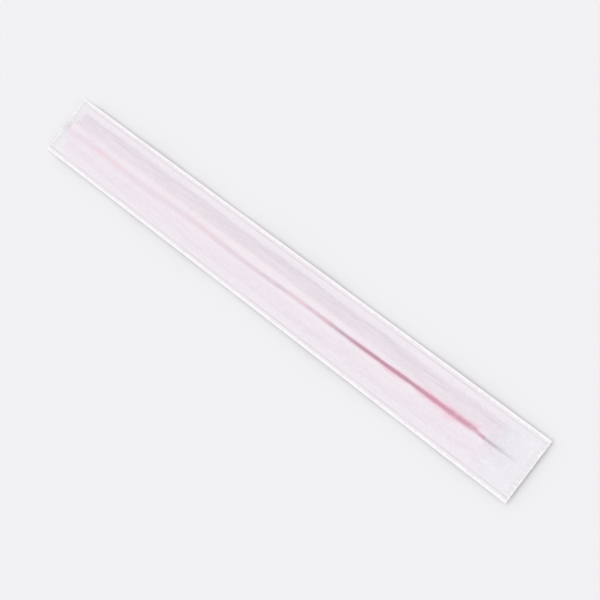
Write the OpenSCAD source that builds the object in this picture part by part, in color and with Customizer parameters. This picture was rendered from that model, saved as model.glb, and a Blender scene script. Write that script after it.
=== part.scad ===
// Drinking straw sealed between two strips of thin paper
// +X runs along the straw towards its long tab, +Z is up
// The origin is on the floor under the middle of the wrapper

/* [Straw] */
// Length of the straw
straw_length = 197; // [140:1:240]
// Outer diameter of the straw
straw_diameter = 6.5; // [5:0.1:7.5]
// Wall of the straw
straw_wall = 0.2; // [0.12:0.01:0.5]

/* [Paper] */
// Width of both strips
paper_width = 24; // [20:0.5:30]
// Thickness of one strip
paper = 0.05; // [0.03:0.01:0.12]
// Paper past the straw at the short tab
short_tab = 8; // [7:0.5:20]
// Paper past the straw at the long tab
long_tab = 16; // [10:0.5:30]
// Room between the straw's side and the paper
side_clearance = 0.05; // [0.03:0.01:0.2]
// Room between the straw's ends and the paper
end_clearance = 0.3; // [0.1:0.1:1]

/* [Seals] */
// Width of the pressed seal along each long edge
side_seal = 2; // [1.5:0.1:2.5]
// Height of the bead pressed along each side seal
bead_height = 0.15; // [0.05:0.05:0.3]
// Length of the ribbed seal across each end
end_seal = 2.5; // [1.5:0.1:4]
// Height of the ribs across each end seal
rib_height = 0.3; // [0.1:0.05:0.5]
// Length over which the ribs fade out towards the straw
rib_fade = 0.6; // [0.3:0.1:1]

/* [Lie of the paper] */
// Flat paper between a side seal and the bulge over the straw
margin = 1.8; // [0.8:0.1:3]
// Width of the strip that lies flat on the floor
rest_width = 7; // [4:0.1:9]
// Height of the side seals over the floor
seal_rise = 1.2; // [0.5:0.1:2]
// Distance past the straw where a tab turns up
turn_up_after = 3; // [1:0.5:5]
// Slope at which a tab turns up
turn_up_angle = 6; // [0:1:12]
// How sharply the upper paper drops past the straw's end
shoulder_drop = 2; // [1:0.1:3]
// Height of the wrinkles fanned out over a tab
wrinkle_height = 0.6; // [0.2:0.1:1]
// Wrinkles from the middle of a tab to the foot of the bulge
wrinkles = 1.5; // [0.5:0.5:2]
// Most that the upper paper bellies out beside the straw
slack = 0.3; // [0:0.05:0.4]
// Distance along the straw from one slack belly to the next
slack_wave = 43; // [30:1:80]

/* [Hidden] */
$fn = 64;

// Steps of the paper from its edge to its middle: seal, margin, side of the bulge and crown
seal_steps = 3;
margin_steps = 2;
flank_steps = 4;
crown_steps = 5;
foot_step = seal_steps + margin_steps;
touch_step = foot_step + flank_steps;
mid_step = touch_step + crown_steps;
steps_across = 2 * mid_step;

// Steps along the paper: short shoulder, straw and long shoulder
short_steps = 6;
straw_steps = 22;
long_steps = 9;

// How the wrinkles and bellies are set out: width at the straw's end, and shifts in degrees
fan_start = 0.5;
wrinkle_shift = 40;
belly_shift = 65;

// Places along the straw
wrapper_length = short_tab + straw_length + long_tab;
short_edge = -wrapper_length / 2;
long_edge = wrapper_length / 2;
straw_start = short_edge + short_tab;
straw_end = long_edge - long_tab;
short_shoulder = straw_start - end_clearance;
long_shoulder = straw_end + end_clearance;
short_seal = short_edge + end_seal;
long_seal = long_edge - end_seal;
stations = concat(
    [short_edge, short_seal - rib_fade],
    spread(short_seal, short_shoulder, short_steps),
    spread(short_shoulder, long_shoulder, straw_steps),
    spread(long_shoulder, long_seal, long_steps),
    [long_seal, long_seal + rib_fade, long_edge]
);

// Places across the straw
straw_radius = straw_diameter / 2;
straw_axis_z = paper + side_clearance + straw_radius;
seal_y = paper_width / 2 - side_seal;
foot_y = seal_y - margin;
foot_z = tray(foot_y) + paper;

// The crown's corners stand out so that its flats clear the straw
crown_radius = (straw_radius + side_clearance) / cos(90 / crown_steps / 2);

// Slope of the paper from the foot of the bulge to where it touches the crown
foot_rise = straw_axis_z - foot_z;
lean = atan2(foot_rise, foot_y) + asin(crown_radius / norm([foot_y, foot_rise]));
touch = [crown_radius * sin(lean), straw_axis_z + crown_radius * cos(lean)];

// Even places from a up to, but not including, b
function spread(a, b, steps) = [for (i = [0:steps - 1]) a + (b - a) * i / steps];
function within(v) = max(0, min(1, v));
function ease(v) = within(v) * within(v) * (3 - 2 * within(v));

// How far past the straw's end a station is: 0 over the straw, 1 at the end seal
function tab_share(x) = within(max(
    (short_shoulder - x) / (short_shoulder - short_seal),
    (x - long_shoulder) / (long_seal - long_shoulder)
));

// How closely the upper paper still follows the straw's round: 1 over the straw
function bulge_share(x) = pow(1 - tab_share(x), shoulder_drop);

// How strongly the end seal's ribs stand out at a station
function rib_share(x) = within(max(short_seal - x, x - long_seal) / rib_fade);

// Steps from the nearer edge, and the side of the straw, of a place k steps across
function from_edge(k) = min(k, steps_across - k);
function side(k) = k < mid_step ? -1 : 1;

// Distance from the middle of a place on flat paper: by zone over the straw, even at the ribs
function zone_y(m) =
    m <= seal_steps ? paper_width / 2 - side_seal * m / seal_steps :
    m <= foot_step ? seal_y - margin * (m - seal_steps) / margin_steps :
    foot_y * (mid_step - m) / (mid_step - foot_step);
function even_y(m) = paper_width / 2 * (1 - m / mid_step);
function flat_y(x, m) = zone_y(m) + (even_y(m) - zone_y(m)) * tab_share(x);

// Height of the lower paper across the straw: flat on the floor, rising to the seals
function tray(y) = seal_rise * ease((y - rest_width / 2) / (seal_y - rest_width / 2));
function bead(m) = m < seal_steps ? bead_height * sin(180 * m / seal_steps) : 0;

// Height of a tab where it is turned up past the straw
function turn_up(x) =
    max(0, straw_start - turn_up_after - x, x - straw_end - turn_up_after) * tan(turn_up_angle);
function rib(x, k) = k % 2 == 1 ? rib_height * rib_share(x) : 0;

// A point of the lower paper's underside
function floor_z(x, k) =
    turn_up(x) + rib(x, k)
    + (tray(zone_y(from_edge(k))) + bead(from_edge(k))) * (1 - tab_share(x));
function lower_under(x, k) = [x, side(k) * flat_y(x, from_edge(k)), floor_z(x, k)];
function lower_over(x, k) = lower_under(x, k) + [0, 0, paper];

// How far the upper paper bellies out at a station, on one side of the straw
function belly(x, s) = slack * (1 + sin(360 * x / slack_wave + belly_shift * s)) / 2;

// A point of the upper paper's underside over the straw, as distance from the middle and height
function flank_point(x, part, s) =
    [foot_y, foot_z] + (touch - [foot_y, foot_z]) * part
    + belly(x, s) * sin(180 * part) * [sin(lean), cos(lean)];
function crown_point(a) = [crown_radius * sin(a), straw_axis_z + crown_radius * cos(a)];
function bulge_point(x, m, s) =
    m < touch_step
    ? flank_point(x, (m - foot_step) / flank_steps, s)
    : crown_point(lean * (mid_step - m) / crown_steps);

// Height of the wrinkles that fan out from the straw's end over a tab
function wrinkle(x, k) =
    let (across = side(k) * zone_y(from_edge(k)) / foot_y)
    let (fan = across / (fan_start + (1 - fan_start) * tab_share(x)))
    let (crest = (1 + cos(360 * wrinkles * fan + wrinkle_shift)) / 2)
    wrinkle_height * sin(180 * tab_share(x)) * cos(90 * across) * crest;

// A point of the upper paper's underside: on the lower paper at the seals, over the straw between
function upper_under(x, k) =
    let (m = from_edge(k))
    let (flat = lower_over(x, k))
    m <= foot_step ? flat :
    let (over = bulge_point(x, m, side(k)))
    let (bulge = [x, side(k) * over[0], over[1]])
    flat + (bulge - flat) * bulge_share(x) + [0, 0, wrinkle(x, k)];

// The matching point of its upper face, one paper thickness away
function upper_over(x, k) =
    let (along = upper_under(x + paper, k) - upper_under(x - paper, k))
    let (across = upper_under(x, min(k + 1, steps_across)) - upper_under(x, max(k - 1, 0)))
    let (steep = norm(along) / (2 * paper))
    let (out = from_edge(k) == 0 ? [0, 0, 1] : [0, -across[2], across[1]])
    upper_under(x, k) + out / norm(out) * paper * steep;

// Closed sheet between two grids of points with the same rows and columns
module sheet(under, over) {
    rows = len(under);
    columns = len(under[0]);
    points = concat([for (row = under) each row], [for (row = over) each row]);
    function u(i, k) = i * columns + k;
    function o(i, k) = rows * columns + u(i, k);
    faces = [
        for (i = [0:rows - 2], k = [0:columns - 2]) each [
            [o(i, k), o(i, k + 1), o(i + 1, k + 1)],
            [o(i, k), o(i + 1, k + 1), o(i + 1, k)],
            [u(i, k), u(i + 1, k + 1), u(i, k + 1)],
            [u(i, k), u(i + 1, k), u(i + 1, k + 1)]
        ],
        for (i = [0:rows - 2], last = columns - 1) each [
            [u(i, 0), o(i, 0), o(i + 1, 0)],
            [u(i, 0), o(i + 1, 0), u(i + 1, 0)],
            [u(i, last), o(i + 1, last), o(i, last)],
            [u(i, last), u(i + 1, last), o(i + 1, last)]
        ],
        for (k = [0:columns - 2], last = rows - 1) each [
            [u(0, k + 1), o(0, k + 1), o(0, k)],
            [u(0, k + 1), o(0, k), u(0, k)],
            [u(last, k + 1), o(last, k), o(last, k + 1)],
            [u(last, k + 1), u(last, k), o(last, k)]
        ]
    ];
    polyhedron(points, faces);
}

// Extruded plastic tube, cut square at both ends
module straw() {
    color("crimson")
    translate([straw_start, 0, straw_axis_z])
    rotate([0, 90, 0])
    difference() {
        cylinder(h = straw_length, r = straw_radius);
        translate([0, 0, -1])
        cylinder(h = straw_length + 2, r = straw_radius - straw_wall);
    }
}

// Strip under the straw, flat where it lies on the floor and raised at its seals
module lower_paper() {
    color("whitesmoke")
    sheet(
        [for (x = stations) [for (k = [0:steps_across]) lower_under(x, k)]],
        [for (x = stations) [for (k = [0:steps_across]) lower_over(x, k)]]
    );
}

// Strip drawn over the straw and pressed onto the lower strip at all four edges
module upper_paper() {
    color("white")
    sheet(
        [for (x = stations) [for (k = [0:steps_across]) upper_under(x, k)]],
        [for (x = stations) [for (k = [0:steps_across]) upper_over(x, k)]]
    );
}

straw();
lower_paper();
upper_paper();
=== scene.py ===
import math

import bpy
import numpy as np
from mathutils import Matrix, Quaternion, Vector


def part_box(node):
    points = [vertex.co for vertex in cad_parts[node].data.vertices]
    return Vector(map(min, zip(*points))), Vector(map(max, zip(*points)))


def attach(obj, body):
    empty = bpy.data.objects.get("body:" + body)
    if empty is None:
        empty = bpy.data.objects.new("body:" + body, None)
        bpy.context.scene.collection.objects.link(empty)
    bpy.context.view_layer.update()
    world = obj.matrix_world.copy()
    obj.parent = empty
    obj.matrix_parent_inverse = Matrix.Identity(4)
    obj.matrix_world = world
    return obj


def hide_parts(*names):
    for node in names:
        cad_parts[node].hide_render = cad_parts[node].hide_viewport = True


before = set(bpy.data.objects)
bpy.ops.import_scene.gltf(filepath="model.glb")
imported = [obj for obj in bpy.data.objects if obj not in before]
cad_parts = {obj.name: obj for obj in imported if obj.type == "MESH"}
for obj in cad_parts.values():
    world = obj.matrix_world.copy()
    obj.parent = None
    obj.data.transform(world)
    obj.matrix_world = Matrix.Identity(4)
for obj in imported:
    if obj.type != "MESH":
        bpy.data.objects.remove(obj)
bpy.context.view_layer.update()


# Drinking straw
# A tube of rose red polypropylene, extruded in one length and cut square at both ends.
# It lies loose between the two strips of paper, and is seen only as far as it shows through them.

MM = 0.001
straw_low, straw_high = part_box("straw")
straw_start = straw_low.x / MM
straw_end = straw_high.x / MM
straw_length = straw_end - straw_start
straw_axis = (straw_low.z + straw_high.z) / 2 / MM
straw_radius = (straw_high.z - straw_low.z) / 2 / MM
straw_wall = 0.2
straw_sides = 96
straw_stations = 100


def linear(colour):
    """A hex sRGB colour as linear red, green, blue and alpha."""
    channels = [int(colour[i:i + 2], 16) / 255 for i in (1, 3, 5)]
    curved = [c / 12.92 if c <= 0.04045 else ((c + 0.055) / 1.055) ** 2.4 for c in channels]
    return (*curved, 1.0)


def add_node(tree, kind, inputs=None, **settings):
    """Adds a node, sets its settings, and links or sets its inputs by name or number."""
    made = tree.nodes.new(kind)
    for name, value in settings.items():
        setattr(made, name, value)
    for name, value in (inputs or {}).items():
        if isinstance(value, bpy.types.NodeSocket):
            tree.links.new(value, made.inputs[name])
        else:
            made.inputs[name].default_value = value
    return made


def new_material(name):
    """An empty node material and its tree."""
    material = bpy.data.materials.new(name)
    material.use_nodes = True
    material.node_tree.nodes.clear()
    return material, material.node_tree


def new_tree(name, sockets):
    """An empty tree of geometry nodes with a geometry input, named inputs and a geometry output."""
    tree = bpy.data.node_groups.new(name, "GeometryNodeTree")
    tree.interface.new_socket("Geometry", in_out="INPUT", socket_type="NodeSocketGeometry")
    for socket, kind in sockets.items():
        tree.interface.new_socket(socket, in_out="INPUT", socket_type=kind)
    tree.interface.new_socket("Geometry", in_out="OUTPUT", socket_type="NodeSocketGeometry")
    return tree, add_node(tree, "NodeGroupInput").outputs


# Extruded polypropylene: a smooth satin skin with faint lines that the die draws along its length
red_plastic, plastic_look = new_material("extruded_rose_red_polypropylene")
die_line_spacing = 0.4 * MM
die_line_length = 60 * MM
die_line_relief, die_line_strength = 0.02 * MM, 0.2
satin_smooth, satin_dull = 0.27, 0.37
straw_point = add_node(plastic_look, "ShaderNodeTexCoord").outputs["Object"]
drawn = add_node(plastic_look, "ShaderNodeMapping", {
    "Vector": straw_point,
    "Scale": (1 / die_line_length, 1 / die_line_spacing, 1 / die_line_spacing),
})
die_lines = add_node(plastic_look, "ShaderNodeTexNoise", {
    "Vector": drawn.outputs["Vector"], "Scale": 1.0, "Detail": 2.0,
}).outputs["Fac"]
straw_red = add_node(plastic_look, "ShaderNodeMix", {
    "Factor": die_lines, "A": linear("#C8385A"), "B": linear("#DA4C6B"),
}, data_type="RGBA")
drawn_gloss = add_node(plastic_look, "ShaderNodeMapRange", {
    "Value": die_lines, "To Min": satin_smooth, "To Max": satin_dull,
})
die_bump = add_node(plastic_look, "ShaderNodeBump", {
    "Height": die_lines, "Strength": die_line_strength, "Distance": die_line_relief,
})
plastic = add_node(plastic_look, "ShaderNodeBsdfPrincipled", {
    "Base Color": straw_red.outputs["Result"],
    "Roughness": drawn_gloss.outputs["Result"],
    "IOR": 1.49,
    "Normal": die_bump.outputs["Normal"],
})
add_node(plastic_look, "ShaderNodeOutputMaterial", {"Surface": plastic.outputs["BSDF"]})

# A sheet of faces becomes a closed wall of even thickness on the side its faces point to
wall_tree, sheet_given = new_tree("wall_from_sheet", {"Thickness": "NodeSocketFloat"})
merge_distance = 1e-7
cut_edge_angle = math.radians(60)
raised = add_node(wall_tree, "GeometryNodeExtrudeMesh", {
    "Mesh": sheet_given["Geometry"], "Offset Scale": sheet_given["Thickness"], "Individual": False,
})
turned = add_node(wall_tree, "GeometryNodeFlipFaces", {"Mesh": sheet_given["Geometry"]})
both = add_node(wall_tree, "GeometryNodeJoinGeometry")
wall_tree.links.new(raised.outputs["Mesh"], both.inputs["Geometry"])
wall_tree.links.new(turned.outputs["Mesh"], both.inputs["Geometry"])
closed = add_node(wall_tree, "GeometryNodeMergeByDistance", {
    "Geometry": both.outputs["Geometry"], "Distance": merge_distance,
})
edge_angle = add_node(wall_tree, "GeometryNodeInputMeshEdgeAngle")
cut_edge = add_node(wall_tree, "FunctionNodeCompare", {
    0: edge_angle.outputs["Unsigned Angle"], 1: cut_edge_angle,
}, operation="GREATER_THAN")
smooth = add_node(wall_tree, "GeometryNodeSetShadeSmooth", {
    "Geometry": closed.outputs["Geometry"], "Shade Smooth": True,
})
sharp = add_node(wall_tree, "GeometryNodeSetShadeSmooth", {
    "Geometry": smooth.outputs["Geometry"],
    "Selection": cut_edge.outputs["Result"],
    "Shade Smooth": False,
}, domain="EDGE")
add_node(wall_tree, "NodeGroupOutput", {"Geometry": sharp.outputs["Geometry"]})

# The tube is a ring drawn along the straw's axis, with its wall set inwards from the outer radius
tube_tree, tube_given = new_tree("drawn_tube", {
    "Start": "NodeSocketVector",
    "End": "NodeSocketVector",
    "Radius": "NodeSocketFloat",
    "Wall": "NodeSocketFloat",
    "Stations": "NodeSocketInt",
    "Sides": "NodeSocketInt",
    "Material": "NodeSocketMaterial",
})
axis_line = add_node(tube_tree, "GeometryNodeCurvePrimitiveLine", {
    "Start": tube_given["Start"], "End": tube_given["End"],
})
stations = add_node(tube_tree, "GeometryNodeResampleCurve", {
    "Curve": axis_line.outputs["Curve"], "Count": tube_given["Stations"],
})
bore_radius = add_node(tube_tree, "ShaderNodeMath", {
    0: tube_given["Radius"], 1: tube_given["Wall"],
}, operation="SUBTRACT")
bore_ring = add_node(tube_tree, "GeometryNodeCurvePrimitiveCircle", {
    "Resolution": tube_given["Sides"], "Radius": bore_radius.outputs["Value"],
})
bore = add_node(tube_tree, "GeometryNodeCurveToMesh", {
    "Curve": stations.outputs["Curve"], "Profile Curve": bore_ring.outputs["Curve"],
})
tube_wall = add_node(tube_tree, "GeometryNodeGroup", node_tree=wall_tree)
tube_tree.links.new(bore.outputs["Mesh"], tube_wall.inputs["Geometry"])
tube_tree.links.new(tube_given["Wall"], tube_wall.inputs["Thickness"])
real_tube = add_node(tube_tree, "GeometryNodeRealizeInstances", {
    "Geometry": tube_wall.outputs["Geometry"],
})
coloured_tube = add_node(tube_tree, "GeometryNodeSetMaterial", {
    "Geometry": real_tube.outputs["Geometry"], "Material": tube_given["Material"],
})
add_node(tube_tree, "NodeGroupOutput", {"Geometry": coloured_tube.outputs["Geometry"]})


def grown(name, mesh, tree, values):
    """An object whose mesh a tree of geometry nodes makes from a starting mesh and named values."""
    piece = bpy.data.objects.new(name, mesh)
    bpy.context.scene.collection.objects.link(piece)
    modifier = piece.modifiers.new(tree.name, "NODES")
    modifier.node_group = tree
    identifiers = {
        item.name: item.identifier
        for item in tree.interface.items_tree
        if item.in_out == "INPUT"
    }
    for socket, value in values.items():
        modifier[identifiers[socket]] = value
    evaluated = piece.evaluated_get(bpy.context.evaluated_depsgraph_get())
    result = bpy.data.meshes.new_from_object(evaluated)
    piece.modifiers.clear()
    piece.data = result
    return piece


straw = grown("straw_tube", bpy.data.meshes.new("straw_tube"), tube_tree, {
    "Start": (straw_start * MM, 0.0, straw_axis * MM),
    "End": (straw_end * MM, 0.0, straw_axis * MM),
    "Radius": straw_radius * MM,
    "Wall": straw_wall * MM,
    "Stations": straw_stations,
    "Sides": straw_sides,
    "Material": red_plastic,
})
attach(straw, "root")
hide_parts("straw")


# Lower strip of the wrapper
# A strip of thin white wrapping paper that lies flat under the straw and rises to its side seals.
# Both strips are pressed into each other without glue: a bead along each side, ribs across each end.

wrapper_low, wrapper_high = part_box("lower_paper")
short_edge = wrapper_low.x / MM
long_edge = wrapper_high.x / MM
half_width = wrapper_high.y / MM
paper = 0.05
ply_gap = 0.005
side_seal = 2.0
bead_height = 0.15
end_seal = 2.5
ribs = 14
rib_pitch = 2 * half_width / ribs
rib_height = 0.3
rib_fade = 0.6
margin = 1.8
rest_width = 7.0
seal_rise = 1.2
end_clearance = 0.3
turn_up_after = 3.0
turn_up_angle = math.radians(6)
edge_wave_height, edge_wave_length = 0.22, 74.0
ripple_share, ripple_turns, ripple_shift = 0.5, 2.6, 2.0
crease_length, crease_width, crease_height = 20.0, 3.4, 1.6
crumple_size, crumple_height = 6.0, 2.6

# The paper is stepped off from its edge to its middle: seal, margin, side of the tent and crown
seal_step, foot_step, touch_step, mid_step = 3, 5, 9, 14
seal_columns, margin_columns, flank_columns, crown_columns = 12, 8, 24, 12
columns = np.concatenate([
    np.linspace(0, seal_step, seal_columns, endpoint=False),
    np.linspace(seal_step, foot_step, margin_columns, endpoint=False),
    np.linspace(foot_step, touch_step, flank_columns, endpoint=False),
    np.linspace(touch_step, mid_step, crown_columns, endpoint=False),
])
from_edge = np.concatenate([columns, [mid_step], columns[::-1]])[None, :]
side = np.where(np.arange(from_edge.size) < columns.size, -1.0, 1.0)[None, :]

# Stations along the paper lie closer together over the seals and tabs than over the straw
short_seal = short_edge + end_seal
long_seal = long_edge - end_seal
short_shoulder = straw_start - end_clearance
long_shoulder = straw_end + end_clearance
seal_rows, short_rows, straw_rows, long_rows = 10, 24, 320, 52
x = np.concatenate([
    np.linspace(short_edge, short_seal, seal_rows, endpoint=False),
    np.linspace(short_seal, short_shoulder, short_rows, endpoint=False),
    np.linspace(short_shoulder, long_shoulder, straw_rows, endpoint=False),
    np.linspace(long_shoulder, long_seal, long_rows, endpoint=False),
    np.linspace(long_seal, long_edge, seal_rows + 1),
])[:, None]


def ease(share):
    """A share held between 0 and 1 and smoothed at both ends."""
    held = np.clip(share, 0.0, 1.0)
    return held * held * (3 - 2 * held)


# How far past the straw's end a station is: 0 over the straw, 1 at the end seal
past_short = (short_shoulder - x) / (short_shoulder - short_seal)
past_long = (x - long_shoulder) / (long_seal - long_shoulder)
past_shoulder = np.maximum(past_short, past_long)
tab_share = np.clip(past_shoulder, 0.0, 1.0)

# Places across the strip: by zone over the straw, evenly spread at the end seals
seal_y = half_width - side_seal
foot_y = seal_y - margin
zone_steps = [0, seal_step, foot_step, mid_step]
zone_y = np.interp(from_edge, zone_steps, [half_width, seal_y, foot_y, 0.0])
even_y = half_width * (1 - from_edge / mid_step)
flat_y = zone_y + (even_y - zone_y) * tab_share

# Heights: flat under the straw, up to the slowly waving seals at the sides, turned up at the tabs
rise = ease((zone_y - rest_width / 2) / (seal_y - rest_width / 2))
edge_turn = 2 * math.pi * x / edge_wave_length
ripple = ripple_share * np.sin(ripple_turns * edge_turn - ripple_shift * side)
edge_wave = edge_wave_height * (np.sin(edge_turn + side) + ripple)
bead = np.where(from_edge < seal_step, bead_height * np.sin(math.pi * from_edge / seal_step), 0.0)
past_turn = np.maximum(straw_start - turn_up_after - x, x - straw_end - turn_up_after)
turn_up = np.maximum(0, past_turn) * math.tan(turn_up_angle)
lower_z = turn_up + ((seal_rise + edge_wave) * rise + bead) * (1 - tab_share)
lower_under = np.stack(np.broadcast_arrays(x, side * flat_y, lower_z), axis=-1)

# Only the paper between the flat rest and the margins is free to crumple, and only a little
lower_crumpling = 0.3
free_above, free_fade, foot_fade = 0.1, 0.3, 1.5
lower_free = ease((rise - free_above) / free_fade) * ease((from_edge - foot_step) / foot_fade)
lower_loose = lower_crumpling * lower_free * (1 - tab_share)

# Thin wrapping paper: uneven fibres, whiter and with a painted highlight along its cut edges, with
# painted shade in its seal grooves, between its ribs and in its fold, and so thin that the straw shows
# through, as a red line where the paper touches it and as a faint blush beside it
wrapping_paper, paper_look = new_material("thin_white_wrapping_paper")
fibre_size = 1.2 * MM  # real fibres are finer than a pixel, so they are drawn this coarse to show
fibre_relief, fibre_strength = 0.05 * MM, 0.7
patch_size = Vector((11, 4, 4)) * MM
noise_middle = 0.5
touch_gap, touch_fade = 0.03 * MM, 0.13 * MM
patch_depth = 0.12 * MM
fibre_depth = 0.06 * MM
blush_reach = 11 * MM
end_sharpness = 3.0
halo_reach, halo_end, halo_most = 0.38 * MM, 4 * MM, 0.7
blotch_depth = 0.95 * MM
fold_broken, fold_whole = 0.2, 0.5
edge_white, edge_fade, edge_grain = 0.4 * MM, 1.0 * MM, 1.6 * MM
end_rim_loss = 0.35 * MM
groove_place, groove_half = 1.7 * MM, 0.35 * MM
rib_shade_strength = 0.22
mottle_from, mottle_to, mottle_most = 0.35, 0.75, 0.16
matt_smooth, matt_rough = 0.62, 0.8
light_through = 0.1
paper_point = add_node(paper_look, "ShaderNodeTexCoord").outputs["Object"]
fibres = add_node(paper_look, "ShaderNodeTexNoise", {
    "Vector": paper_point, "Scale": 1 / fibre_size, "Detail": 3.0, "Roughness": 0.6,
}).outputs["Fac"]
in_patches = add_node(paper_look, "ShaderNodeVectorMath", {
    0: paper_point, 1: patch_size,
}, operation="DIVIDE")
patches = add_node(paper_look, "ShaderNodeTexNoise", {
    "Vector": in_patches.outputs["Vector"], "Scale": 1.0, "Detail": 2.0,
}).outputs["Fac"]

# Gap between the straw and the paper's outer face, and the distance past the straw's nearer end
from_axis = add_node(paper_look, "ShaderNodeVectorMath", {
    0: paper_point, 1: (0.0, 1.0, 1.0), 2: (0.0, 0.0, -straw_axis * MM),
}, operation="MULTIPLY_ADD")
axis_distance = add_node(paper_look, "ShaderNodeVectorMath", {
    0: from_axis.outputs["Vector"],
}, operation="LENGTH")
gap = add_node(paper_look, "ShaderNodeMath", {
    0: axis_distance.outputs["Value"], 1: (straw_radius + paper) * MM,
}, operation="SUBTRACT")
paper_place = add_node(paper_look, "ShaderNodeSeparateXYZ", {"Vector": paper_point}).outputs
from_middle = add_node(paper_look, "ShaderNodeMath", {
    0: paper_place["X"], 1: (straw_start + straw_end) / 2 * MM,
}, operation="SUBTRACT")
along = add_node(paper_look, "ShaderNodeMath", {
    0: from_middle.outputs["Value"],
}, operation="ABSOLUTE")
past_end = add_node(paper_look, "ShaderNodeMath", {
    0: along.outputs["Value"], 1: straw_length / 2 * MM,
}, operation="SUBTRACT")
beyond = add_node(paper_look, "ShaderNodeMath", {
    0: past_end.outputs["Value"], 1: 0.0,
}, operation="MAXIMUM")
distance = add_node(paper_look, "ShaderNodeMath", {
    0: beyond.outputs["Value"], 1: end_sharpness, 2: gap.outputs["Value"],
}, operation="MULTIPLY_ADD")
blush = add_node(paper_look, "ShaderNodeMapRange", {
    "Value": distance.outputs["Value"], "From Min": blush_reach, "From Max": touch_gap,
})

# The line where it touches is broken up by patches and fibres of the paper
patch_level = add_node(paper_look, "ShaderNodeMath", {
    0: patches, 1: noise_middle,
}, operation="SUBTRACT")
patchy = add_node(paper_look, "ShaderNodeMath", {
    0: patch_level.outputs["Value"], 1: patch_depth, 2: distance.outputs["Value"],
}, operation="MULTIPLY_ADD")
fibre_level = add_node(paper_look, "ShaderNodeMath", {
    0: fibres, 1: noise_middle,
}, operation="SUBTRACT")
ragged = add_node(paper_look, "ShaderNodeMath", {
    0: fibre_level.outputs["Value"], 1: fibre_depth, 2: patchy.outputs["Value"],
}, operation="MULTIPLY_ADD")
touch = add_node(paper_look, "ShaderNodeMapRange", {
    "Value": ragged.outputs["Value"], "From Min": touch_fade, "From Max": touch_gap,
}, interpolation_type="SMOOTHSTEP")
blotchy = add_node(paper_look, "ShaderNodeMath", {
    0: patch_level.outputs["Value"], 1: blotch_depth, 2: distance.outputs["Value"],
}, operation="MULTIPLY_ADD")
halo_strength = add_node(paper_look, "ShaderNodeMapRange", {
    "Value": past_end.outputs["Value"],
    "From Min": 0.0,
    "From Max": -halo_end,
    "To Max": halo_most,
})
halo = add_node(paper_look, "ShaderNodeMapRange", {
    "Value": blotchy.outputs["Value"],
    "From Min": halo_reach,
    "From Max": touch_gap,
    "To Max": halo_strength.outputs["Result"],
}, interpolation_type="SMOOTHSTEP")

# A fine broken line of painted shade in the fold along a strip, at the place and as strong and as wide
# as the strip says; its mauve grey is tinted by the red straw under it
beside_fold = add_node(paper_look, "ShaderNodeAttribute", attribute_name="beside_fold")
fold_shade_share = add_node(paper_look, "ShaderNodeAttribute", attribute_name="fold_shade_level")
fold_width = add_node(paper_look, "ShaderNodeAttribute", attribute_name="fold_half")
from_fold = add_node(paper_look, "ShaderNodeMath", {
    0: beside_fold.outputs["Fac"],
}, operation="ABSOLUTE")
fold_shade_strength = add_node(paper_look, "ShaderNodeMapRange", {
    "Value": patches,
    "From Min": fold_broken,
    "From Max": fold_whole,
    "To Max": fold_shade_share.outputs["Fac"],
})
fold_shade = add_node(paper_look, "ShaderNodeMapRange", {
    "Value": from_fold.outputs["Value"],
    "From Min": fold_width.outputs["Fac"],
    "From Max": 0.0,
    "To Max": fold_shade_strength.outputs["Result"],
}, interpolation_type="SMOOTHSTEP")

# Painted highlight along the cut edges, where the pressed plies are also whiter, and broken grey
# painted shade in the groove where each side seal begins
from_line = add_node(paper_look, "ShaderNodeMath", {0: paper_place["Y"]}, operation="ABSOLUTE")
from_centre = add_node(paper_look, "ShaderNodeMath", {0: paper_place["X"]}, operation="ABSOLUTE")
side_edge = add_node(paper_look, "ShaderNodeMath", {
    0: half_width * MM, 1: from_line.outputs["Value"],
}, operation="SUBTRACT")
end_edge = add_node(paper_look, "ShaderNodeMath", {
    0: long_edge * MM, 1: from_centre.outputs["Value"],
}, operation="SUBTRACT")
end_rim = add_node(paper_look, "ShaderNodeMath", {
    0: end_edge.outputs["Value"], 1: end_rim_loss,
}, operation="ADD")
nearest_edge = add_node(paper_look, "ShaderNodeMath", {
    0: side_edge.outputs["Value"], 1: end_rim.outputs["Value"],
}, operation="MINIMUM")
ragged_edge = add_node(paper_look, "ShaderNodeMath", {
    0: fibre_level.outputs["Value"], 1: edge_grain, 2: nearest_edge.outputs["Value"],
}, operation="MULTIPLY_ADD")
# whiter plies and a painted highlight along the cut edges
edge = add_node(paper_look, "ShaderNodeMapRange", {
    "Value": ragged_edge.outputs["Value"], "From Min": edge_fade, "From Max": edge_white,
}, interpolation_type="SMOOTHSTEP")
from_groove = add_node(paper_look, "ShaderNodeMath", {
    0: side_edge.outputs["Value"], 1: groove_place,
}, operation="SUBTRACT")
groove_distance = add_node(paper_look, "ShaderNodeMath", {
    0: from_groove.outputs["Value"],
}, operation="ABSOLUTE")
groove = add_node(paper_look, "ShaderNodeMapRange", {
    "Value": groove_distance.outputs["Value"], "From Min": groove_half, "From Max": 0.0,
}, interpolation_type="SMOOTHSTEP")
# painted shade in the groove, broken up by the patches
groove_shade = add_node(paper_look, "ShaderNodeMath", {
    0: groove.outputs["Result"], 1: patches,
}, operation="MULTIPLY")
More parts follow.
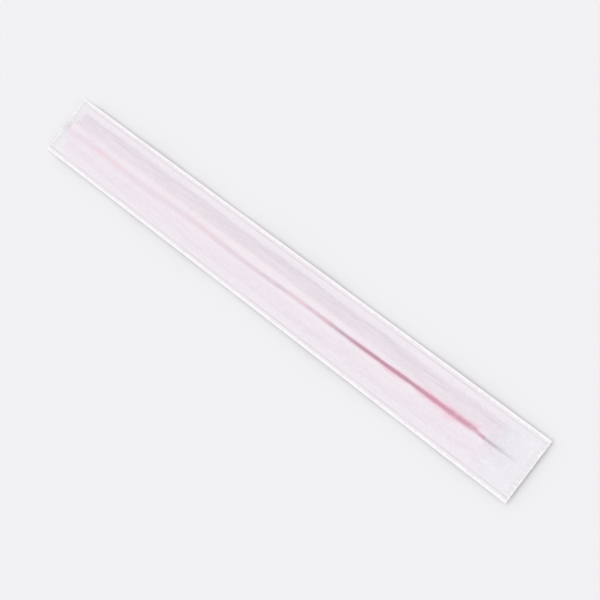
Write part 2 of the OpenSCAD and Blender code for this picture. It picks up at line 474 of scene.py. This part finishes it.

# Painted shade between the ribs that are pressed across each end, and grey in the thicker fibres
rib_turns = add_node(paper_look, "ShaderNodeMath", {
    0: paper_place["Y"], 1: 2 * math.pi / (rib_pitch * MM),
}, operation="MULTIPLY")
rib_shade = add_node(paper_look, "ShaderNodeMath", {
    0: rib_turns.outputs["Value"],
}, operation="COSINE")
at_ribs = add_node(paper_look, "ShaderNodeMapRange", {
    "Value": end_edge.outputs["Value"],
    "From Min": end_seal * MM,
    "From Max": (end_seal - rib_fade) * MM,
    "To Max": rib_shade_strength,
})
# painted shade in the valleys between the end ribs
rib_valley = add_node(paper_look, "ShaderNodeMath", {
    0: rib_shade.outputs["Value"], 1: at_ribs.outputs["Result"],
}, operation="MULTIPLY")
# painted shade in the seal grooves and between the ribs
painted_crease_shade = add_node(paper_look, "ShaderNodeMath", {
    0: groove_shade.outputs["Value"], 1: rib_valley.outputs["Value"],
}, operation="MAXIMUM")
mottle = add_node(paper_look, "ShaderNodeMapRange", {
    "Value": fibres, "From Min": mottle_from, "From Max": mottle_to, "To Max": mottle_most,
})
shade_and_mottle = add_node(paper_look, "ShaderNodeMath", {
    0: painted_crease_shade.outputs["Value"], 1: mottle.outputs["Result"],
}, operation="MAXIMUM")

# The colours are laid over each other, from the plain sheet to the painted shade of the fold
plain = add_node(paper_look, "ShaderNodeMix", {
    "Factor": patches, "A": linear("#EAE7EC"), "B": linear("#F2F0F4"),
}, data_type="RGBA")
blushed = add_node(paper_look, "ShaderNodeMix", {
    "Factor": blush.outputs["Result"], "A": plain.outputs["Result"], "B": linear("#F2E8EF"),
}, data_type="RGBA")
# Grey laid over: painted shade in the seal grooves and between the ribs, and grey tone in the thicker
# fibres
shaded_and_mottled = add_node(paper_look, "ShaderNodeMix", {
    "Factor": shade_and_mottle.outputs["Value"], "A": blushed.outputs["Result"], "B": linear("#C9C0C8"),
}, data_type="RGBA")
# the cut edges: whiter pressed plies and painted highlight
edged = add_node(paper_look, "ShaderNodeMix", {
    "Factor": edge.outputs["Result"], "A": shaded_and_mottled.outputs["Result"], "B": linear("#FAF7FA"),
}, data_type="RGBA")
haloed = add_node(paper_look, "ShaderNodeMix", {
    "Factor": halo.outputs["Result"], "A": edged.outputs["Result"], "B": linear("#EFC9D8"),
}, data_type="RGBA")
lined = add_node(paper_look, "ShaderNodeMix", {
    "Factor": touch.outputs["Result"], "A": haloed.outputs["Result"], "B": linear("#D297B0"),
}, data_type="RGBA")
# painted shade in the fold over the line, a mauve grey tinted by the straw
shown = add_node(paper_look, "ShaderNodeMix", {
    "Factor": fold_shade.outputs["Result"], "A": lined.outputs["Result"], "B": linear("#AE8A9C"),
}, data_type="RGBA")
matt_level = add_node(paper_look, "ShaderNodeMapRange", {
    "Value": fibres, "To Min": matt_smooth, "To Max": matt_rough,
})
paper_bump = add_node(paper_look, "ShaderNodeBump", {
    "Height": fibres, "Strength": fibre_strength, "Distance": fibre_relief,
})
front = add_node(paper_look, "ShaderNodeBsdfPrincipled", {
    "Base Color": shown.outputs["Result"],
    "Roughness": matt_level.outputs["Result"],
    "IOR": 1.45,
    "Normal": paper_bump.outputs["Normal"],
})
through = add_node(paper_look, "ShaderNodeBsdfTranslucent", {
    "Color": shown.outputs["Result"], "Normal": paper_bump.outputs["Normal"],
})
lit = add_node(paper_look, "ShaderNodeMixShader", {
    "Fac": light_through, 1: front.outputs["BSDF"], 2: through.outputs["BSDF"],
})
add_node(paper_look, "ShaderNodeOutputMaterial", {"Surface": lit.outputs["Shader"]})

# The strip is crumpled where it is loose, ribbed at its end seals and then given its thickness
strip_tree, strip_given = new_tree("pressed_paper", {
    "Rib Pitch": "NodeSocketFloat",
    "Rib Height": "NodeSocketFloat",
    "Rib Start": "NodeSocketFloat",
    "Rib Fade": "NodeSocketFloat",
    "Crease Length": "NodeSocketFloat",
    "Crease Width": "NodeSocketFloat",
    "Crease Height": "NodeSocketFloat",
    "Crumple Size": "NodeSocketFloat",
    "Crumple Height": "NodeSocketFloat",
    "Seed": "NodeSocketFloat",
    "Thickness": "NodeSocketFloat",
    "Material": "NodeSocketMaterial",
})
position = add_node(strip_tree, "GeometryNodeInputPosition").outputs["Position"]
crease_cell = add_node(strip_tree, "ShaderNodeCombineXYZ", {
    "X": strip_given["Crease Length"],
    "Y": strip_given["Crease Width"],
    "Z": strip_given["Crease Width"],
})
in_creases = add_node(strip_tree, "ShaderNodeVectorMath", {
    0: position, 1: crease_cell.outputs["Vector"],
}, operation="DIVIDE")
creases = add_node(strip_tree, "ShaderNodeTexNoise", {
    "Vector": in_creases.outputs["Vector"],
    "W": strip_given["Seed"],
    "Scale": 1.0,
    "Detail": 2.0,
    "Roughness": 0.45,
}, noise_dimensions="4D")
crease_level = add_node(strip_tree, "ShaderNodeMath", {
    0: creases.outputs["Fac"], 1: noise_middle,
}, operation="SUBTRACT")
crease_fold = add_node(strip_tree, "ShaderNodeMath", {
    0: crease_level.outputs["Value"],
}, operation="ABSOLUTE")
loose = add_node(strip_tree, "GeometryNodeInputNamedAttribute", {
    "Name": "loose",
}, data_type="FLOAT")
loose_height = add_node(strip_tree, "ShaderNodeMath", {
    0: loose.outputs["Attribute"], 1: strip_given["Crease Height"],
}, operation="MULTIPLY")
crumple_scale = add_node(strip_tree, "ShaderNodeMath", {
    0: 1.0, 1: strip_given["Crumple Size"],
}, operation="DIVIDE")
crumples = add_node(strip_tree, "ShaderNodeTexNoise", {
    "Vector": position,
    "W": strip_given["Seed"],
    "Scale": crumple_scale.outputs["Value"],
    "Detail": 2.0,
}, noise_dimensions="4D")
crumple_level = add_node(strip_tree, "ShaderNodeMath", {
    0: crumples.outputs["Fac"], 1: noise_middle,
}, operation="SUBTRACT")
crumple_fold = add_node(strip_tree, "ShaderNodeMath", {
    0: crumple_level.outputs["Value"],
}, operation="ABSOLUTE")
gathered = add_node(strip_tree, "GeometryNodeInputNamedAttribute", {
    "Name": "gathered",
}, data_type="FLOAT")
gathered_height = add_node(strip_tree, "ShaderNodeMath", {
    0: gathered.outputs["Attribute"], 1: strip_given["Crumple Height"],
}, operation="MULTIPLY")
crumple_rise = add_node(strip_tree, "ShaderNodeMath", {
    0: crumple_fold.outputs["Value"], 1: gathered_height.outputs["Value"],
}, operation="MULTIPLY")
paper_rise = add_node(strip_tree, "ShaderNodeMath", {
    0: crease_fold.outputs["Value"],
    1: loose_height.outputs["Value"],
    2: crumple_rise.outputs["Value"],
}, operation="MULTIPLY_ADD")
normal = add_node(strip_tree, "GeometryNodeInputNormal").outputs["Normal"]
paper_offset = add_node(strip_tree, "ShaderNodeVectorMath", {
    0: normal, "Scale": paper_rise.outputs["Value"],
}, operation="SCALE")
crumpled = add_node(strip_tree, "GeometryNodeSetPosition", {
    "Geometry": strip_given["Geometry"], "Offset": paper_offset.outputs["Vector"],
})
strip_place = add_node(strip_tree, "ShaderNodeSeparateXYZ", {"Vector": position}).outputs
rib_count = add_node(strip_tree, "ShaderNodeMath", {
    0: strip_place["Y"], 1: strip_given["Rib Pitch"],
}, operation="DIVIDE")
rib_angle = add_node(strip_tree, "ShaderNodeMath", {
    0: rib_count.outputs["Value"], 1: 2 * math.pi,
}, operation="MULTIPLY")
rib_wave = add_node(strip_tree, "ShaderNodeMath", {
    0: rib_angle.outputs["Value"],
}, operation="COSINE")
end_reach = add_node(strip_tree, "ShaderNodeMath", {0: strip_place["X"]}, operation="ABSOLUTE")
rib_full = add_node(strip_tree, "ShaderNodeMath", {
    0: strip_given["Rib Start"], 1: strip_given["Rib Fade"],
}, operation="ADD")
half_height = add_node(strip_tree, "ShaderNodeMath", {
    0: strip_given["Rib Height"], 1: 0.5,
}, operation="MULTIPLY")
rib_half = add_node(strip_tree, "ShaderNodeMapRange", {
    "Value": end_reach.outputs["Value"],
    "From Min": strip_given["Rib Start"],
    "From Max": rib_full.outputs["Value"],
    "To Max": half_height.outputs["Value"],
}, interpolation_type="SMOOTHSTEP")
rib_dip = add_node(strip_tree, "ShaderNodeMath", {
    0: rib_wave.outputs["Value"], 1: rib_half.outputs["Result"],
}, operation="MULTIPLY")
rib_rise = add_node(strip_tree, "ShaderNodeMath", {
    0: rib_half.outputs["Result"], 1: rib_dip.outputs["Value"],
}, operation="SUBTRACT")
rib_offset = add_node(strip_tree, "ShaderNodeCombineXYZ", {"Z": rib_rise.outputs["Value"]})
ribbed = add_node(strip_tree, "GeometryNodeSetPosition", {
    "Geometry": crumpled.outputs["Geometry"], "Offset": rib_offset.outputs["Vector"],
})
ply = add_node(strip_tree, "GeometryNodeGroup", node_tree=wall_tree)
strip_tree.links.new(ribbed.outputs["Geometry"], ply.inputs["Geometry"])
strip_tree.links.new(strip_given["Thickness"], ply.inputs["Thickness"])
real_ply = add_node(strip_tree, "GeometryNodeRealizeInstances", {"Geometry": ply.outputs["Geometry"]})
coloured_ply = add_node(strip_tree, "GeometryNodeSetMaterial", {
    "Geometry": real_ply.outputs["Geometry"], "Material": strip_given["Material"],
})
add_node(strip_tree, "NodeGroupOutput", {"Geometry": coloured_ply.outputs["Geometry"]})


def strip(name, under, point_values, seed, thickness):
    """A strip of paper on a grid of points in millimetres, with named values for its points."""
    grid = under.shape[:2]
    index = np.arange(grid[0] * grid[1]).reshape(grid)
    faces = np.stack([index[:-1, :-1], index[1:, :-1], index[1:, 1:], index[:-1, 1:]], axis=-1)
    mesh = bpy.data.meshes.new(name)
    mesh.from_pydata((under * MM).reshape(-1, 3), [], faces.reshape(-1, 4), shade_flat=False)
    for value_name, values in point_values.items():
        attribute = mesh.attributes.new(value_name, "FLOAT", "POINT")
        attribute.data.foreach_set("value", np.broadcast_to(values, grid).astype(np.float32).ravel())
    return grown(name, mesh, strip_tree, {
        "Rib Pitch": rib_pitch * MM,
        "Rib Height": rib_height * MM,
        "Rib Start": long_seal * MM,
        "Rib Fade": rib_fade * MM,
        "Crease Length": crease_length * MM,
        "Crease Width": crease_width * MM,
        "Crease Height": crease_height * MM,
        "Crumple Size": crumple_size * MM,
        "Crumple Height": crumple_height * MM,
        "Seed": seed,
        "Thickness": thickness * MM,
        "Material": wrapping_paper,
    })


# It is thinner than the paper by the gap between the plies, so that the two strips share no face
lower_values = {"loose": lower_loose, "gathered": 0.0}
lower_strip = strip("lower_paper_strip", lower_under, lower_values, seed=3.0, thickness=paper - ply_gap)
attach(lower_strip, "root")
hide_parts("lower_paper")


# Upper strip of the wrapper
# A second strip of the same paper, drawn over the straw like a tent and pressed onto the lower strip.
# It lies tight on the straw near the long tab and looser towards the short one, and wrinkles over both.

side_clearance = 0.05
shoulder_drop = 2.0
shoulder_bend = 0.3
foot_bend = 0.22
wrinkle_height = 0.6
wrinkles = 1.5
wrinkle_shift = math.radians(40)
fan_start = 0.5
ridge_height, ridge_half = 0.9, 0.09
slack, slack_wave = 0.3, 43.0
slack_shift = math.radians(65)

# The sides of the tent run from their foot to where they meet the crown
crown_radius = straw_radius + side_clearance
foot_share = ease((foot_y - rest_width / 2) / (seal_y - rest_width / 2))
foot_height = seal_rise * foot_share + paper
foot_rise = straw_axis - foot_height
lean = math.atan2(foot_rise, foot_y) + math.asin(crown_radius / math.hypot(foot_y, foot_rise))

# How the crown lies at shares of the straw's length, from the short tab to the long one: how far it is
# lifted off (below 0, drawn tight), and how far it opens to its sides, which makes the red line thinner
lie = np.array([
    [0.00, 0.27, 1.2],
    [0.18, 0.28, 1.2],
    [0.36, 0.25, 1.8],
    [0.50, 0.27, 2.9],
    [0.62, 0.30, 3.2],
    [0.74, -0.02, 3.2],
    [0.80, 0.00, 2.6],
    [0.90, 0.00, 1.6],
    [0.975, 0.00, 0.2],
])
lie_reach = 0.09
end_taper, end_lift, end_round = 0.045, 0.01, 0.8
straw_share = np.clip((x - straw_start) / straw_length, 0.0, 1.0)
weight = np.exp(-((straw_share - lie[:, 0]) / lie_reach) ** 2)
weight = weight / weight.sum(axis=1, keepdims=True)
at_end = np.clip((straw_share - 1 + end_taper) / end_taper, 0.0, 1.0) ** 2
lift = weight @ lie[:, 1:2] + end_lift * at_end
extra_round = weight @ lie[:, 2:3] + end_round * at_end

# The line where it touches drifts from one side of the straw to the other and wobbles where it is loose
drift_start, drift_end = math.radians(-22), math.radians(5)
wave, wave_turns, wave_start = math.radians(3), 7.0, 1.0
wobble, wobble_turns = math.radians(7), 23.0
end_swing = math.radians(-6)
wander = (
    drift_start + (drift_end - drift_start) * straw_share
    + wave * np.sin(wave_turns * straw_share + wave_start)
    + wobble * (1 - straw_share) * np.sin(wobble_turns * straw_share)
    + end_swing * at_end
)

# Painted shade of the fold along that line, by distance from the straw's start: its half width and how
# strong it is
fold_shade_marks = np.array([
    [0, 2.4, 0.14],
    [60, 2.2, 0.17],
    [95, 1.5, 0.28],
    [112, 1.3, 0.42],
    [127, 1.2, 0.46],
    [138, 1.1, 0.78],
    [165, 1.0, 0.68],
    [180, 0.7, 0.25],
    [195, 0.9, 0.22],
    [196.5, 1.1, 0.55],
    [199, 0.9, 0.48],
    [203, 0.6, 0.28],
    [208, 0.4, 0.0],
])
fold_half = np.interp(x - straw_start, fold_shade_marks[:, 0], fold_shade_marks[:, 1])
fold_shade_level = np.interp(x - straw_start, fold_shade_marks[:, 0], fold_shade_marks[:, 2])

# Crown: an arc round the straw that opens away from the line where the paper touches it
turn = side * lean * np.clip((mid_step - from_edge) / (mid_step - touch_step), 0.0, 1.0)
opening = lift + extra_round * (1 - np.cos(turn - wander))
crown_reach = crown_radius + opening
crown_y = crown_reach * np.sin(turn)
crown_z = straw_axis + crown_reach * np.cos(turn)

# Sides: straight, with long slack bellies, and bent softly out of the flat margin at their foot
part = np.clip((from_edge - foot_step) / (touch_step - foot_step), 0.0, 1.0)
bent = np.where(part < foot_bend, part ** 2 / (2 * foot_bend), part - foot_bend / 2)
risen = bent / (1 - foot_bend / 2)
belly = slack * (1 + np.sin(2 * math.pi * x / slack_wave + slack_shift * side)) / 2
bellied = belly * np.sin(math.pi * part)
foot_z = foot_height + edge_wave * foot_share
tent_y = side * foot_y + (crown_y - side * foot_y) * part + side * bellied * math.sin(lean)
tent_z = foot_z + (crown_z - foot_z) * risen + bellied * math.cos(lean)

# Wrinkles that fan out over a tab from the straw's end, and a ridge along its middle
across = side * zone_y / foot_y
fan = across / (fan_start + (1 - fan_start) * tab_share)
crest = (1 + np.cos(2 * math.pi * wrinkles * fan + wrinkle_shift)) / 2
inside = np.cos(math.pi / 2 * np.clip(across, -1, 1))
wrinkle = wrinkle_height * np.sin(math.pi * tab_share) * inside * crest
ridge = ridge_height * np.sin(math.pi * np.sqrt(tab_share)) * np.exp(-np.abs(across) / ridge_half)

# On the lower strip at the seals, over the straw between them, and bent sharply only over its rim
bend = shoulder_bend * (1 - part)
shoulder = np.clip((past_shoulder + np.hypot(past_shoulder, bend)) / 2, 0.0, 1.0)
unsealed = from_edge > foot_step
over = unsealed * (1 - shoulder) ** shoulder_drop
sheet_y = side * flat_y
sheet_z = lower_z + paper
upper_y = sheet_y + (tent_y - sheet_y) * over
upper_z = sheet_z + (tent_z - sheet_z) * over + unsealed * (wrinkle + ridge)
upper_under = np.stack(np.broadcast_arrays(x, upper_y, upper_z), axis=-1)

# The sides crease along the straw, and both they and the tabs crumple
tab_hold = 0.6
side_crumpling = 0.5
free_side = np.sin(math.pi * part)
upper_values = {
    "fold_shade_level": fold_shade_level,
    "fold_half": fold_half * MM,
    "beside_fold": (upper_y - crown_radius * np.sin(wander) * over) * MM,
    "loose": free_side * (1 - tab_hold * tab_share),
    "gathered": inside * np.sin(math.pi * tab_share) + side_crumpling * free_side * (1 - tab_share),
}
upper_strip = strip("upper_paper_strip", upper_under, upper_values, seed=8.0, thickness=paper)
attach(upper_strip, "root")
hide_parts("upper_paper")


# Table
# A plain pale table top under the wrapper, wide enough to fill every view of it.
# It is a shade darker than the paper's white edges, so that they and their soft shadow show on it.

table_half = 6.0
table_corners = [(-1, -1), (1, -1), (1, 1), (-1, 1)]

# Matt white paint, with no gloss and no grain to draw the eye from the wrapper
pale_table, table_look = new_material("matt_white_table")
table_top = add_node(table_look, "ShaderNodeBsdfPrincipled", {
    "Base Color": linear("#E4E3E6"), "Roughness": 0.85,
})
add_node(table_look, "ShaderNodeOutputMaterial", {"Surface": table_top.outputs["BSDF"]})

table_points = [(u * table_half, v * table_half, 0.0) for u, v in table_corners]
table_mesh = bpy.data.meshes.new("table")
table_mesh.from_pydata(table_points, [], [(0, 1, 2, 3)])
table_mesh.materials.append(pale_table)
table = bpy.data.objects.new("table", table_mesh)
bpy.context.scene.collection.objects.link(table)


# Studio light
# One broad soft light from high over the table, a little to the left, with an even white surround.
# The surround is seen as a backdrop of the same pale tone as the lit table.

surround_strength = 0.91
light_strength = 0.74
light_spread = math.radians(60)
light_from = Vector((-0.2, -0.28, 1.3))

surround = bpy.data.worlds.new("white_surround")
surround.use_nodes = True
surround_look = surround.node_tree
surround_look.nodes.clear()
glow = add_node(surround_look, "ShaderNodeBackground", {
    "Color": linear("#FFFFFF"), "Strength": surround_strength,
})
backdrop = add_node(surround_look, "ShaderNodeBackground", {
    "Color": linear("#F1F1F3"), "Strength": 1.0,
})
rays = add_node(surround_look, "ShaderNodeLightPath").outputs
camera_or_glossy = add_node(surround_look, "ShaderNodeMath", {
    0: rays["Is Camera Ray"], 1: rays["Is Glossy Ray"],
}, operation="MAXIMUM")
seen = add_node(surround_look, "ShaderNodeMath", {
    0: camera_or_glossy.outputs["Value"], 1: rays["Is Transmission Ray"],
}, operation="MAXIMUM")
shown_surround = add_node(surround_look, "ShaderNodeMixShader", {
    "Fac": seen.outputs["Value"], 1: glow.outputs["Background"], 2: backdrop.outputs["Background"],
})
add_node(surround_look, "ShaderNodeOutputWorld", {"Surface": shown_surround.outputs["Shader"]})
bpy.context.scene.world = surround

light_data = bpy.data.lights.new("soft_light", "SUN")
light_data.energy = light_strength
light_data.angle = light_spread
light = bpy.data.objects.new("soft_light", light_data)
light.rotation_euler = (-light_from).to_track_quat("-Z", "Y").to_euler()
bpy.context.scene.collection.objects.link(light)


# Camera
# It stands over the long tab and looks down along the straw, so that both sides of the tent show alike.
# It is turned about its line of sight until the long tab points to the lower right of the picture.

view_azimuth = math.radians(90)
view_elevation = math.radians(65)
view_roll = math.radians(53)
view_distance = 0.43
view_centre = Vector((0.0135, 0.0, 0.002))
view_back = Vector((
    math.sin(view_azimuth) * math.cos(view_elevation),
    -math.cos(view_azimuth) * math.cos(view_elevation),
    math.sin(view_elevation),
))
camera_data = bpy.data.cameras.new("camera")
camera_data.sensor_width = 36.0
camera_data.lens = 76.0
camera_data.clip_start = 0.01
camera = bpy.data.objects.new("camera", camera_data)
camera.location = view_centre + view_back * view_distance
level = (-view_back).to_track_quat("-Z", "Y")
camera.rotation_euler = (level @ Quaternion((0, 0, 1), -view_roll)).to_euler()
bpy.context.scene.collection.objects.link(camera)
bpy.context.scene.camera = camera
bpy.context.scene.view_settings.view_transform = "Standard"
